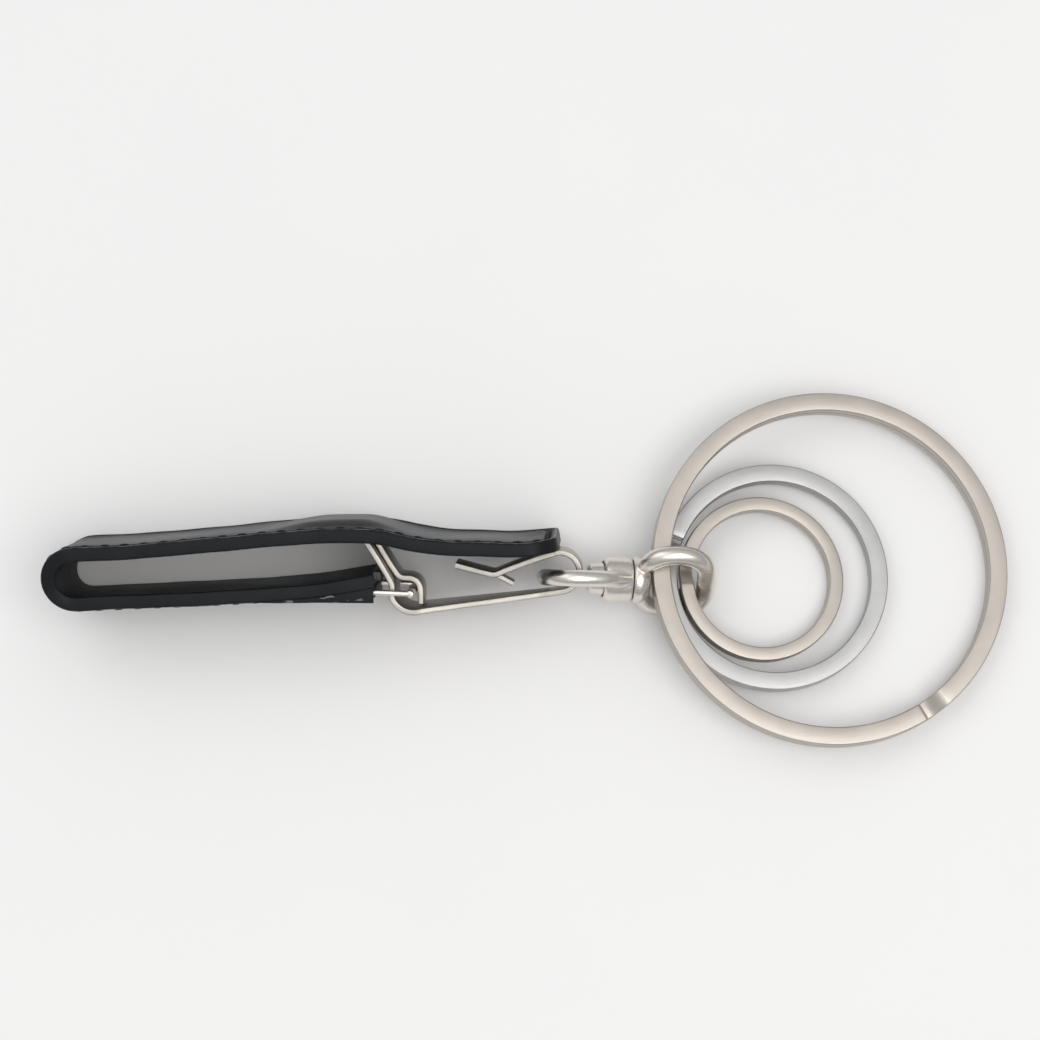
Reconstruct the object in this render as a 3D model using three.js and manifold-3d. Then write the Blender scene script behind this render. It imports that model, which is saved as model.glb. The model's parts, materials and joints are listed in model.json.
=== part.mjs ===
// Belt-loop key holder: a stitched leather strap folded round a spring-steel clip, a swivel hung
// in the clip's hook, and three split rings threaded through the swivel's eye.
// Millimetres, +Z up. The holder lies on a table with the strap standing on its cut edge.
// Origin: bottom centre of the whole object's box. +X runs from the strap's fold to the rings.
import * as THREE from "three";
import { mergeVertices } from "three/addons/utils/BufferGeometryUtils.js";
import Module from "manifold-3d";

const wasm = await Module();
wasm.setup();

// ---------------------------------------------------------------- driving dimensions

// From the construction axes to the bottom centre of the box.
const SHIFT = { x: 0.155, y: 0.01, z: -0.01 };

// The strap's own frame: x along the strap, y across its thickness, z across its width.
// It leans about X, because its lower leg is narrower than its upper leg.
const STRAP = {
  lean: THREE.MathUtils.degToRad(17.5),
  y: -1.9,
  z: -1.3,
};

const LEATHER = {
  width: 15, // at the upper leg
  narrowTop: 1.6, // how much lower the top edge lies at the lower leg
  ply: 0.72,
  skivedPly: 0.6, // the turned-back end
  gap: 0.06, // glue line between the plies
  foldX: -47.4,
  foldY: 3.1,
  foldR: 2.65, // to the glue line
  flapX: 2.9,
  flapCorner: 3.2, // corner radius of the free end
  edgeRound: 0.2,
  edgeBand: 0.3, // how far in from the cut edge the rounding reaches
  tableGap: 0.02,
};

// The outer ply's return round the link's bar: its width there, where it turns back under the
// lower leg, and where it has been thinned away.
const RETURN = { low: 3.2, high: 11.6, below: 1.5, from: 17.1, to: 31, thinnest: 0.3 };

const SEAM = {
  inset: 1.15, // seam line to cut edge
  half: 0.3, // half the groove's width
  depth: 0.3,
  start: 1.4, // from the flap's end
};

// The thread's section: half its width, its edges' and crown's and underside's depth in the ply.
const THREAD = { half: 0.13, edge: 0.05, bottom: 0.18, crown: -0.02, start: 2 };

const STEEL = 0.62; // thickness of the clip's strip

const CLIP = {
  midW: 7.4, // middle of the strip, across the strap's width
  rootWidth: 8.4,
  hookWidth: 4.1,
  taperFrom: -11.5, // the lower bar narrows from here ...
  taperTo: 0.8, // ... to here
  hookX: 3.0,
  hookY: 3.42,
  hookR: 2.08,
  hookEnds: [-83, 100], // degrees round the hook, from the bar to the sprung arm
  armFrom: 105, // where the arm takes over ...
  armTo: 110, // ... and leaves the hook's round
  armWidth: 4.9,
};

// The tab lanced from the sprung arm, steeper than the arm's tip, and the opening it leaves.
const TAB = {
  width: 2.4,
  thick: 0.5,
  reach: 2.3,
  back: 0.15, // how far it starts behind the vee
  drop: THREE.MathUtils.degToRad(14),
  openingX: -1.85,
  openingY: 3.9,
  openingLength: 1.9,
  openingDepth: 2.4,
  sideGap: 0.15,
};

// Mouth of the pocket in the lining, and the pocket's swelling of the outer ply.
const SLOT = { x: -17.2, y: 7.2, length: 3.4, depth: 2, height: 9.0 };
const POCKET = { from: -24.3, to: -12.3, fade: 2.2, low: 3.0, high: 11.8, side: 0.5, rise: 0.72 };

const LINK = {
  barX: -16.75,
  barY: 1.6,
  rollX: -12.45,
  rollY: 1.42,
  rollR: 0.45,
  thick: 0.56,
  barDepth: 0.8,
  window: 9.0, // clear width between the legs
  leg: 0.9,
};

const SWIVEL = {
  x: 1.52,
  y: -1.63,
  z: 7.05,
  pitch: THREE.MathUtils.degToRad(8.6),
  bailRoll: THREE.MathUtils.degToRad(12), // the bail's plane, back from upright
  eyeRoll: THREE.MathUtils.degToRad(-27.5), // the eye's plane, over from upright
  wire: 0.88,
  wireEnd: 0.6, // the wire's share of its radius where it runs into the barrel
  wireTaper: 0.1, // over this share of its length
  barrelFrom: 5.95,
  barrelTo: 9.1,
  barrelR: 2.43,
  bore: 1.1,
  headFrom: 4.4,
  headTo: 6.3,
  headR: 1.7,
  recess: 0.5,
  running: 0.12, // clearance between the turning parts
  seat: 0.25, // clearance round the pin's head
  collarR: 2.5,
  collarTo: 10.9,
  pinShort: 0.6, // the pin stops this far inside the collar
  pinFit: 0.06, // clearance round the pin in the collar
  socketWall: 0.5,
  rod: 1.02,
  neck: 0.8, // radius of the eye's wire inside the collar ...
  neckHalf: 0.08, // ... over this share of its length each way
};

// How finely curved pieces are divided.
const STEPS = {
  upper: 24,
  fold: 11,
  lower: 12,
  turnback: 22,
  clip: 76,
  arm: 34,
  latch: 30,
  foot: 6,
  hook: 12,
  wire: 44,
  wireSides: 12,
  barrelSides: 36,
  boreSides: 28,
  rollSides: 16,
  ramp: 6,
};

// Split rings: outer diameter, radial width and thickness of one turn, place of the left side's
// middle, tilt about Y, and the steps in one turn.
const RING_GAP = 0.06;
const RINGS = [
  {
    name: "ring_large",
    outer: 38,
    wide: 1.9,
    turn: 1.12,
    at: [13.55, 0, 5.73],
    tilt: 7.09,
    start: -48,
    ramp: 8.5,
    steps: 44,
    colour: 0xc8bfb4,
  },
  {
    name: "ring_medium",
    outer: 24.4,
    wide: 1.85,
    turn: 0.92,
    at: [14.4, -0.7, 3.36],
    tilt: 5.85,
    start: 172,
    ramp: 12,
    steps: 36,
    colour: 0xb9bcc0,
  },
  {
    name: "ring_small",
    outer: 17.7,
    wide: 1.45,
    turn: 0.78,
    at: [16.24, -0.95, 3.84],
    tilt: 10.2,
    start: 187,
    ramp: 14,
    steps: 30,
    colour: 0xc8bfb4,
  },
];

// ---------------------------------------------------------------- materials

const leather = new THREE.MeshStandardMaterial({ color: 0x23272b, roughness: 0.55 });
const thread = new THREE.MeshStandardMaterial({ color: 0x17191c, roughness: 0.8 });
const spring = new THREE.MeshStandardMaterial({
  color: 0xb5b1aa,
  roughness: 0.32,
  metalness: 1,
});
const nickel = new THREE.MeshStandardMaterial({
  color: 0xcfc8be,
  roughness: 0.28,
  metalness: 1,
});

// ---------------------------------------------------------------- solids

function meshOf(name, geometry, material) {
  const mesh = new THREE.Mesh(geometry, material);
  mesh.name = name;
  return mesh;
}

function solid(geometry) {
  const bare = geometry.clone();
  bare.deleteAttribute("normal");
  bare.deleteAttribute("uv");
  const merged = mergeVertices(bare, 1e-4);
  return new wasm.Manifold(
    new wasm.Mesh({
      numProp: 3,
      vertProperties: new Float32Array(merged.attributes.position.array),
      triVerts: new Uint32Array(merged.index.array),
    }),
  );
}

function geometryOf(manifold) {
  const mesh = manifold.getMesh();
  const geometry = new THREE.BufferGeometry();
  const position = new THREE.BufferAttribute(new Float32Array(mesh.vertProperties), 3);
  geometry.setAttribute("position", position);
  geometry.setIndex(new THREE.BufferAttribute(new Uint32Array(mesh.triVerts), 1));
  return geometry;
}

// A closed skin over rows of points. Each row is one section: its outer line and its inner line,
// point for point. The rows' ends are capped, or joined to each other when the skin is a loop.
function skin(rows, loop = false) {
  const count = rows[0].outer.length;
  const around = 2 * count;
  const points = rows.flatMap((row) => [...row.outer, ...[...row.inner].reverse()]);
  const index = [];
  const quad = (a, b, c, d) => index.push(a, b, c, a, c, d);
  const last = loop ? rows.length : rows.length - 1;
  for (let i = 0; i < last; i++) {
    const here = i * around;
    const next = ((i + 1) % rows.length) * around;
    for (let j = 0; j < around; j++) {
      const k = (j + 1) % around;
      quad(here + j, next + j, next + k, here + k);
    }
  }
  if (!loop) {
    const end = (rows.length - 1) * around;
    for (let j = 0; j < count - 1; j++) {
      quad(j, j + 1, around - 2 - j, around - 1 - j);
      quad(end + j, end + around - 1 - j, end + around - 2 - j, end + j + 1);
    }
  }
  if (signedVolume(points, index) < 0) index.reverse();
  const geometry = new THREE.BufferGeometry().setFromPoints(points);
  geometry.setIndex(index);
  return geometry;
}

function signedVolume(points, index) {
  let volume = 0;
  for (let i = 0; i < index.length; i += 3) {
    const [a, b, c] = [0, 1, 2].map((k) => points[index[i + k]]);
    volume += a.dot(b.clone().cross(c)) / 6;
  }
  return volume;
}

// The point and the left-hand normal at a share t of a flat curve's length.
function station(curve, t) {
  const p = curve.getPointAt(t);
  const tangent = curve.getTangentAt(t);
  return {
    p: new THREE.Vector2(p.x, p.y),
    normal: new THREE.Vector2(-tangent.y, tangent.x).normalize(),
  };
}

// A flat strip bent along a curve in the strap's x-y plane, with its width across z.
function strip(curve, steps, thickness, widthAt) {
  const rows = Array.from({ length: steps + 1 }, (_, i) => {
    const { p, normal } = station(curve, i / steps);
    const half = widthAt(p.x) / 2;
    const side = (sign) => {
      const q = p.clone().addScaledVector(normal, (sign * thickness) / 2);
      return [CLIP.midW - half, CLIP.midW + half].map((z) => new THREE.Vector3(q.x, q.y, z));
    };
    return { outer: side(1), inner: side(-1) };
  });
  return skin(rows);
}

// A round rod along a curve, thinner or thicker where radiusAt says.
function rod(curve, steps, sides, radiusAt, loop = false) {
  const frames = curve.computeFrenetFrames(steps, loop);
  const half = sides / 2;
  const rows = Array.from({ length: loop ? steps : steps + 1 }, (_, i) => {
    const centre = curve.getPointAt(i / steps);
    const at = (j) => {
      const angle = (2 * Math.PI * j) / sides;
      return centre
        .clone()
        .addScaledVector(frames.normals[i], radiusAt(i / steps) * Math.cos(angle))
        .addScaledVector(frames.binormals[i], radiusAt(i / steps) * Math.sin(angle));
    };
    const outer = Array.from({ length: half }, (_, j) => at(j));
    const inner = Array.from({ length: half }, (_, j) => at(sides - 1 - j));
    return { outer, inner };
  });
  return skin(rows, loop);
}

function curve2(points) {
  return new THREE.CatmullRomCurve3(
    points.map(([x, y]) => new THREE.Vector3(x, y, 0)),
    false,
    "centripetal",
  );
}

function box(x, y, z, width, depth, height) {
  return new THREE.BoxGeometry(width, depth, height).translate(x, y, z);
}

// A solid turned about X from [x, radius] pairs that start and end on the axis.
function turned(profile, sides) {
  const points = profile.map(([x, r]) => new THREE.Vector2(r, x));
  const geometry = new THREE.LatheGeometry(points, sides);
  return geometry.rotateZ(-Math.PI / 2);
}

// ---------------------------------------------------------------- the strap

// The glue line between the plies: from the free flap along the upper leg to the fold ...
const UPPER = [
  [LEATHER.flapX, 6.72],
  [1.0, 6.4],
  [-1.5, 6.24],
  [-5, 6.3],
  [-9.4, 6.45],
  [-12, 6.82],
  [-15.2, 7.5],
  [-18.5, 7.72],
  [-25.8, 7.38],
  [-33.6, 6.67],
  [-41.3, 6.0],
  [LEATHER.foldX, LEATHER.foldY + LEATHER.foldR],
];

// ... and from the fold along the lower leg.
const LOWER = [
  [LEATHER.foldX, LEATHER.foldY - LEATHER.foldR],
  [-39.7, 0.8],
  [-33.9, 1.05],
  [-26.5, 1.5],
  [-21, 2.05],
  [-16.7, 2.82],
];

// The outer ply's middle where it goes on round the link's bar and back under the lower leg.
const TURNBACK = [
  [-16.6, 2.45],
  [-15.85, 2.38],
  [-15.38, 1.62],
  [-15.85, 0.92],
  [-16.9, 0.84],
  [-19.2, 0.86],
  [-22, 0.8],
  [-26, 0.5],
  [-31, 0.18],
];

const smooth = THREE.MathUtils.smoothstep;

function foldArc() {
  const points = Array.from({ length: STEPS.fold + 2 }, (_, i) => {
    const angle = Math.PI / 2 + (Math.PI * i) / (STEPS.fold + 1);
    return [
      LEATHER.foldX + LEATHER.foldR * Math.cos(angle),
      LEATHER.foldY + LEATHER.foldR * Math.sin(angle),
    ];
  });
  return curve2(points);
}

// Stations along the glue line, closer together at the rounded flap and round the fold.
// narrowed goes from 0 on the upper leg to 1 on the lower leg.
function strapStations() {
  const upper = curve2(UPPER);
  const fold = foldArc();
  const lower = curve2(LOWER);
  const corner = LEATHER.flapCorner;
  const length = upper.getLength();
  const along = [0, 0.06, 0.19, 0.38, 0.66, 1].map((share) => share * corner);
  for (let i = 1; i <= STEPS.upper; i++) {
    along.push(corner + ((length - corner) * i) / STEPS.upper);
  }
  const made = along.map((d) => ({ ...station(upper, d / length), fromFlap: d, narrowed: 0 }));
  for (let i = 1; i <= STEPS.fold; i++) {
    const k = i / STEPS.fold;
    made.push({ ...station(fold, k), fromFlap: length + i, narrowed: smooth(k, 0, 1) });
  }
  for (let i = 1; i <= STEPS.lower; i++) {
    made.push({ ...station(lower, i / STEPS.lower), fromFlap: 2 * length, narrowed: 1 });
  }
  return made;
}

// How much the flap's corners are cut back, at this distance from its end.
function cornerCut(fromFlap) {
  const r = LEATHER.flapCorner;
  const d = Math.min(fromFlap, r);
  return r - Math.sqrt(r * r - (r - d) * (r - d));
}

// The lowest place across the strap's width that stays on the table, for a section whose
// lowest face is at y.
function tableEdge(y) {
  const rise = LEATHER.tableGap - STRAP.z - y * Math.sin(STRAP.lean);
  return rise / Math.cos(STRAP.lean);
}

// A ply's two cut edges at a station of the glue line.
function cutEdges({ p, normal, fromFlap, narrowed }) {
  const reach = Math.abs(normal.y) * (LEATHER.ply + LEATHER.gap);
  const cut = cornerCut(fromFlap);
  return {
    low: tableEdge(p.y - reach) + cut,
    high: LEATHER.width - LEATHER.narrowTop * narrowed - cut,
  };
}

// How far the outer ply swells over the clip's feet.
function pocketRise(x) {
  const { from, to, fade, rise } = POCKET;
  return rise * smooth(x, from - fade, from) * (1 - smooth(x, to, to + fade));
}

// A section of a ply: across from low to high, with z-places given as columns. The outer face may
// sink at the seams and swell over the pocket.
function plyRow(centre, out, half, columns) {
  const face = (side) =>
    columns.map(({ z, sink = 0, swell = 0, round = 0 }) => {
      const lift = side > 0 ? half - sink - round + swell : -half + round + swell;
      return new THREE.Vector3(centre.x + out.x * lift, centre.y + out.y * lift, z);
    });
  return { outer: face(-1), inner: face(1) };
}

function outerColumns(low, high, seam, swell) {
  const { inset, half, depth } = SEAM;
  const edge = [
    [0, 0, LEATHER.edgeRound],
    [LEATHER.edgeBand, 0, 0],
    [inset - half, 0, 0],
    [inset, depth * seam, 0],
    [inset + half, 0, 0],
  ];
  const pocket = [
    { z: POCKET.low - POCKET.side, swell: 0 },
    { z: POCKET.low, swell },
    { z: POCKET.high, swell },
    { z: POCKET.high + POCKET.side, swell: 0 },
  ];
  const apart = 0.02; // keeps neighbouring columns from falling together
  const middle = pocket.map((column, i) => {
    const least = low + inset + half + apart * (i + 1);
    const most = high - inset - half - apart * (pocket.length - i);
    return { ...column, z: THREE.MathUtils.clamp(column.z, least, most) };
  });
  return [
    ...edge.map(([d, sink, round]) => ({ z: low + d, sink, round })),
    ...middle,
    ...edge.reverse().map(([d, sink, round]) => ({ z: high - d, sink, round })),
  ];
}

function strapOuter() {
  const offset = (LEATHER.ply + LEATHER.gap) / 2;
  const rows = strapStations().map((s) => {
    const out = s.normal.clone().negate();
    const centre = s.p.clone().addScaledVector(out, offset);
    const { low, high } = cutEdges(s);
    const seam = s.fromFlap < SEAM.start ? 0 : 1;
    const swell = s.narrowed === 0 ? pocketRise(s.p.x) : 0;
    return plyRow(centre, out, LEATHER.ply / 2, outerColumns(low, high, seam, swell));
  });
  const line = curve2(TURNBACK);
  for (let i = 0; i <= STEPS.turnback; i++) {
    const s = station(line, i / STEPS.turnback);
    const out = s.normal.clone().negate();
    const returning = s.p.x < -RETURN.from && s.p.y < RETURN.below;
    const skive = returning ? smooth(-s.p.x, RETURN.from, RETURN.to) : 0;
    const half = (LEATHER.skivedPly * THREE.MathUtils.lerp(1, RETURN.thinnest, skive)) / 2;
    const low = returning ? tableEdge(s.p.y - half) : RETURN.low;
    const high = returning ? LEATHER.width - LEATHER.narrowTop : RETURN.high;
    rows.push(plyRow(s.p, out, half, outerColumns(low, high, 0, 0)));
  }
  return skin(rows);
}

function strapLining() {
  const offset = (LEATHER.ply + LEATHER.gap) / 2;
  const rows = strapStations().map((s) => {
    const centre = s.p.clone().addScaledVector(s.normal, offset);
    const { low, high } = cutEdges(s);
    const columns = [
      { z: low, round: LEATHER.edgeRound },
      { z: low + LEATHER.edgeBand },
      { z: high - LEATHER.edgeBand },
      { z: high, round: LEATHER.edgeRound },
    ];
    return plyRow(centre, s.normal.clone().negate(), LEATHER.ply / 2, columns);
  });
  const mouth = box(SLOT.x, SLOT.y, CLIP.midW, SLOT.length, SLOT.depth, SLOT.height);
  return geometryOf(solid(skin(rows)).subtract(solid(mouth)));
}

// One row of thread, lying in the outer ply's groove beside a cut edge.
function seamThread(edge) {
  const face = LEATHER.gap / 2 + LEATHER.ply;
  const { half, edge: side, bottom, crown } = THREAD;
  const rows = strapStations()
    .slice(0, -1)
    .filter((s) => s.fromFlap > THREAD.start)
    .map((s) => {
      const { low, high } = cutEdges(s);
      const z = edge === "low" ? low + SEAM.inset : high - SEAM.inset;
      const at = (dz, depth) => {
        const p = s.p.clone().addScaledVector(s.normal, -(face - depth));
        return new THREE.Vector3(p.x, p.y, z + dz);
      };
      return { outer: [at(-half, side), at(0, bottom)], inner: [at(0, crown), at(half, side)] };
    });
  return skin(rows);
}

// ---------------------------------------------------------------- the clip

// Middle of the steel from its foot in the pocket, out through the lining, round the link's eye
// and along the lower bar to the hook.
const BODY_LINE = [
  [-23.3, 7.88],
  [-20.6, 8.04],
  [-18.9, 8.03],
  [-18.2, 7.85],
  [-17.6, 7.4],
  [-16.95, 6.55],
  [-14.95, 3.3],
  [-14.5, 2.4],
  [-14.42, 1.8],
  [-14.5, 1.1],
  [-14.1, 0.3],
  [-13.2, -0.38],
  [-12.2, -0.6],
  [-11, -0.42],
];

const LATCH_LINE = [
  [-16.42, 7.2],
  [-16.15, 6.7],
  [-14.15, 3.45],
  [-13.75, 3.0],
  [-13.3, 2.87],
  [-12.6, 2.84],
  [-11.95, 2.5],
  [-11.6, 1.8],
  [-11.55, 1.0],
  [-11.55, 0.15],
];

const LATCH_FOOT_LINE = [
  [-16.05, 7.98],
  [-15.0, 7.82],
  [-13.8, 7.55],
  [-12.6, 7.31],
];

const ARM_LINE = [
  [0.6, 4.86],
  [-2.9, 3.55],
  [-3.5, 3.28],
  [-3.93, 3.2],
  [-4.4, 3.28],
  [-7.9, 4.19],
];

function hookArc(fromDegrees, toDegrees, count) {
  return Array.from({ length: count }, (_, i) => {
    const angle = THREE.MathUtils.degToRad(
      fromDegrees + ((toDegrees - fromDegrees) * i) / (count - 1),
    );
    return [
      CLIP.hookX + CLIP.hookR * Math.cos(angle),
      CLIP.hookY + CLIP.hookR * Math.sin(angle),
    ];
  });
}

function bodyWidth(x) {
  const taper = THREE.MathUtils.clamp((x - CLIP.taperFrom) / (CLIP.taperTo - CLIP.taperFrom), 0, 1);
  return THREE.MathUtils.lerp(CLIP.rootWidth, CLIP.hookWidth, taper);
}

function clipBody() {
  const line = curve2([...BODY_LINE, ...hookArc(...CLIP.hookEnds, STEPS.hook)]);
  return strip(line, STEPS.clip, STEEL, bodyWidth);
}

// The sprung arm: straight down from the hook's top to a blunt vee, then up to its tip. A tab
// lanced from it goes on down past the vee.
function clipArm() {
  const line = curve2([...hookArc(CLIP.armFrom, CLIP.armTo, 3), ...ARM_LINE]);
  const arm = solid(strip(line, STEPS.arm, STEEL, () => CLIP.armWidth));
  const [veeX, veeY] = ARM_LINE[3];
  const [tipX, tipY] = ARM_LINE[5];
  const slope = Math.atan2(tipY - veeY, tipX - veeX) - TAB.drop;
  const tab = box((TAB.back - TAB.reach) / 2, 0, 0, TAB.reach + TAB.back, TAB.thick, TAB.width);
  tab.rotateZ(slope).translate(veeX, veeY, CLIP.midW);
  const opening = box(
    TAB.openingX,
    TAB.openingY,
    CLIP.midW,
    TAB.openingLength,
    TAB.openingDepth,
    TAB.width + 2 * TAB.sideGap,
  );
  return geometryOf(arm.subtract(solid(opening)).add(solid(tab)));
}

// The latch: the strip that closes the eye against the body, and its root in the pocket.
function latchStrip(line, steps) {
  return strip(curve2(line), steps, STEEL, () => CLIP.armWidth);
}

// The link: a flat ring of steel. Its bar is sewn into the strap's end, and its rolled end is
// held in the eye that the clip's body and the latch strip make.
function link() {
  const { barX, barY, rollX, rollY, rollR, thick, barDepth, window, leg } = LINK;
  const span = rollX - barX;
  const slope = Math.atan2(rollY - barY, span);
  const width = window + 2 * leg;
  const plate = box((span - barDepth / 2) / 2, 0, 0, span + barDepth / 2, thick, width);
  const clear = span - barDepth / 2 - rollR / 2;
  const opening = box(barDepth / 2 + clear / 2, 0, 0, clear, 4 * thick, window);
  const roll = new THREE.CylinderGeometry(rollR, rollR, width, STEPS.rollSides);
  roll.rotateX(Math.PI / 2).translate(span, 0, 0);
  const flat = solid(plate).subtract(solid(opening));
  const made = geometryOf(flat.add(solid(roll)));
  return made.rotateZ(slope).translate(barX, barY, CLIP.midW);
}

// ---------------------------------------------------------------- the swivel

// Everything here is laid out along the swivel's axis, x, from the middle of the bail's wire.
const BAIL_WIRE = [
  [8.9, 1.9],
  [7.2, 2.55],
  [5.4, 3.45],
  [3.4, 3.82],
  [1.55, 3.55],
  [0.32, 2.3],
];

function bail() {
  const upper = BAIL_WIRE.map(([x, z]) => new THREE.Vector3(x, 0, z));
  const lower = [...BAIL_WIRE].reverse().map(([x, z]) => new THREE.Vector3(x, 0, -z));
  const line = new THREE.CatmullRomCurve3([...upper, new THREE.Vector3(0, 0, 0), ...lower]);
  const { barrelFrom, barrelTo, barrelR, bore, recess, wireEnd, wireTaper } = SWIVEL;
  const radiusAt = (t) => {
    const fromEnd = smooth(0.5 - Math.abs(t - 0.5), 0, wireTaper);
    return SWIVEL.wire * THREE.MathUtils.lerp(wireEnd, 1, fromEnd);
  };
  const wire = solid(rod(line, STEPS.wire, STEPS.wireSides, radiusAt));
  const headSeat = SWIVEL.headR + SWIVEL.seat;
  const barrel = turned(
    [
      [barrelFrom, 0],
      [barrelFrom, barrelR - 0.45],
      [barrelFrom + 0.15, barrelR - 0.15],
      [barrelFrom + 0.5, barrelR],
      [barrelTo - 0.35, barrelR],
      [barrelTo, barrelR - 0.2],
      [barrelTo, 0],
    ],
    STEPS.barrelSides,
  );
  const hole = turned(
    [
      [barrelFrom - 2, 0],
      [barrelFrom - 2, headSeat],
      [barrelFrom + recess, headSeat],
      [barrelFrom + recess, bore],
      [barrelTo + 1, bore],
      [barrelTo + 1, 0],
    ],
    STEPS.boreSides,
  );
  return geometryOf(wire.add(solid(barrel)).subtract(solid(hole)));
}

function swivelPin() {
  const { headFrom, headTo, headR, bore, running, collarTo, pinShort } = SWIVEL;
  const shank = bore - running;
  const end = collarTo - pinShort;
  return turned(
    [
      [headFrom, 0],
      [headFrom, headR - 0.4],
      [headFrom + 0.35, headR],
      [headTo, headR],
      [headTo, shank],
      [end - 0.2, shank],
      [end, shank - 0.2],
      [end, 0],
    ],
    STEPS.boreSides,
  );
}

// The eye's wire, round above the axis and squarer below it, where the rings hang.
const EYE_LOOP = [
  [17.1, 0],
  [16.65, 2.45],
  [15.3, 3.85],
  [13.35, 4.25],
  [11.5, 3.75],
  [10.3, 2.3],
  [10.05, 0],
  [10.3, -2.3],
  [11.45, -3.85],
  [13.4, -4.25],
  [15.65, -4.12],
  [17.0, -2.75],
];

function eye() {
  const points = EYE_LOOP.map(([x, z]) => new THREE.Vector3(x, 0, z));
  const line = new THREE.CatmullRomCurve3(points, true);
  const radiusAt = (t) => {
    const fromNeck = smooth(Math.abs(t - 0.5), SWIVEL.neckHalf, 2 * SWIVEL.neckHalf);
    return THREE.MathUtils.lerp(SWIVEL.neck, SWIVEL.rod, fromNeck);
  };
  const loop = solid(rod(line, STEPS.wire, STEPS.wireSides, radiusAt, true));
  const { barrelTo, collarR, collarTo, bore, running, pinFit, socketWall } = SWIVEL;
  const from = barrelTo + running;
  const collar = turned(
    [
      [from, 0],
      [from, collarR - 0.15],
      [from + 0.2, collarR],
      [collarTo - 0.7, collarR - 0.05],
      [collarTo, collarR - 0.75],
      [collarTo, 0],
    ],
    STEPS.barrelSides,
  );
  const socketR = bore - running + pinFit;
  const socket = turned(
    [
      [from - 1, 0],
      [from - 1, socketR],
      [collarTo - socketWall, socketR],
      [collarTo - socketWall, 0],
    ],
    STEPS.boreSides,
  );
  return geometryOf(loop.add(solid(collar)).subtract(solid(socket)));
}

// ---------------------------------------------------------------- the split rings

// Two turns of flat bar. The lower turn climbs a short ramp to the upper one.
function splitRing({ outer, wide, turn, start, ramp, steps }) {
  const rise = turn + RING_GAP;
  const lastDegree = 720 - ramp - 1;
  const rampFrom = 360 - ramp;
  const degrees = [];
  for (let i = 0; i <= steps; i++) degrees.push((rampFrom * i) / steps);
  for (let i = 1; i <= STEPS.ramp; i++) degrees.push(rampFrom + (ramp * i) / STEPS.ramp);
  for (let i = 1; i <= steps; i++) degrees.push(360 + ((lastDegree - 360) * i) / steps);
  const rows = degrees.map((degree) => {
    const middle = rise * (smooth(degree, rampFrom, 360) - 0.5);
    const angle = THREE.MathUtils.degToRad(start + degree);
    const at = (radius, z) =>
      new THREE.Vector3(radius * Math.cos(angle), radius * Math.sin(angle), z);
    const line = (z) => [at(outer / 2 - wide, z), at(outer / 2, z)];
    return { outer: line(middle + turn / 2), inner: line(middle - turn / 2) };
  });
  return skin(rows);
}

// ---------------------------------------------------------------- the assembly

const holder = new THREE.Group();
holder.position.set(SHIFT.x, SHIFT.y, SHIFT.z);

const strap = new THREE.Group();
strap.position.set(0, STRAP.y, STRAP.z);
strap.rotation.x = STRAP.lean;
strap.add(
  meshOf("strap_outer", strapOuter(), leather),
  meshOf("strap_lining", strapLining(), leather),
  meshOf("seam_thread_top", seamThread("high"), thread),
  meshOf("seam_thread_bottom", seamThread("low"), thread),
  meshOf("clip_body", clipBody(), spring),
  meshOf("clip_arm", clipArm(), spring),
  meshOf("latch_strip", latchStrip(LATCH_LINE, STEPS.latch), spring),
  meshOf("latch_foot", latchStrip(LATCH_FOOT_LINE, STEPS.foot), spring),
  meshOf("strap_link", link(), nickel),
);
holder.add(strap);

const swivel = new THREE.Group();
swivel.position.set(SWIVEL.x, SWIVEL.y, SWIVEL.z);
swivel.rotation.y = SWIVEL.pitch;
const bailMesh = meshOf("swivel_bail", bail(), nickel);
bailMesh.rotation.x = SWIVEL.bailRoll;
const eyeMesh = meshOf("swivel_eye", eye(), nickel);
eyeMesh.rotation.x = SWIVEL.eyeRoll;
swivel.add(bailMesh, eyeMesh, meshOf("swivel_pin", swivelPin(), nickel));
holder.add(swivel);

for (const ring of RINGS) {
  const material = nickel.clone();
  material.color.set(ring.colour);
  const mesh = meshOf(ring.name, splitRing(ring), material);
  const tilt = THREE.MathUtils.degToRad(ring.tilt);
  const radius = (ring.outer - ring.wide) / 2;
  const [x, y, z] = ring.at;
  mesh.position.set(x + radius * Math.cos(tilt), y, z - radius * Math.sin(tilt));
  mesh.rotation.y = tilt;
  holder.add(mesh);
}

export default holder;
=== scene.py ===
"""Belt-loop key holder: fine leather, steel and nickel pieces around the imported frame.

Lengths are millimetres until a mesh is made. The strap and the clip are laid out in the strap's
own plane (x along the strap, y through its thickness, z across its width), the swivel along its
spin axis, and each ring about its own centre. The frame's joints say where those planes stand.
"""

import json
import math

import bpy
import numpy as np
from mathutils import Matrix, Vector


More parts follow.
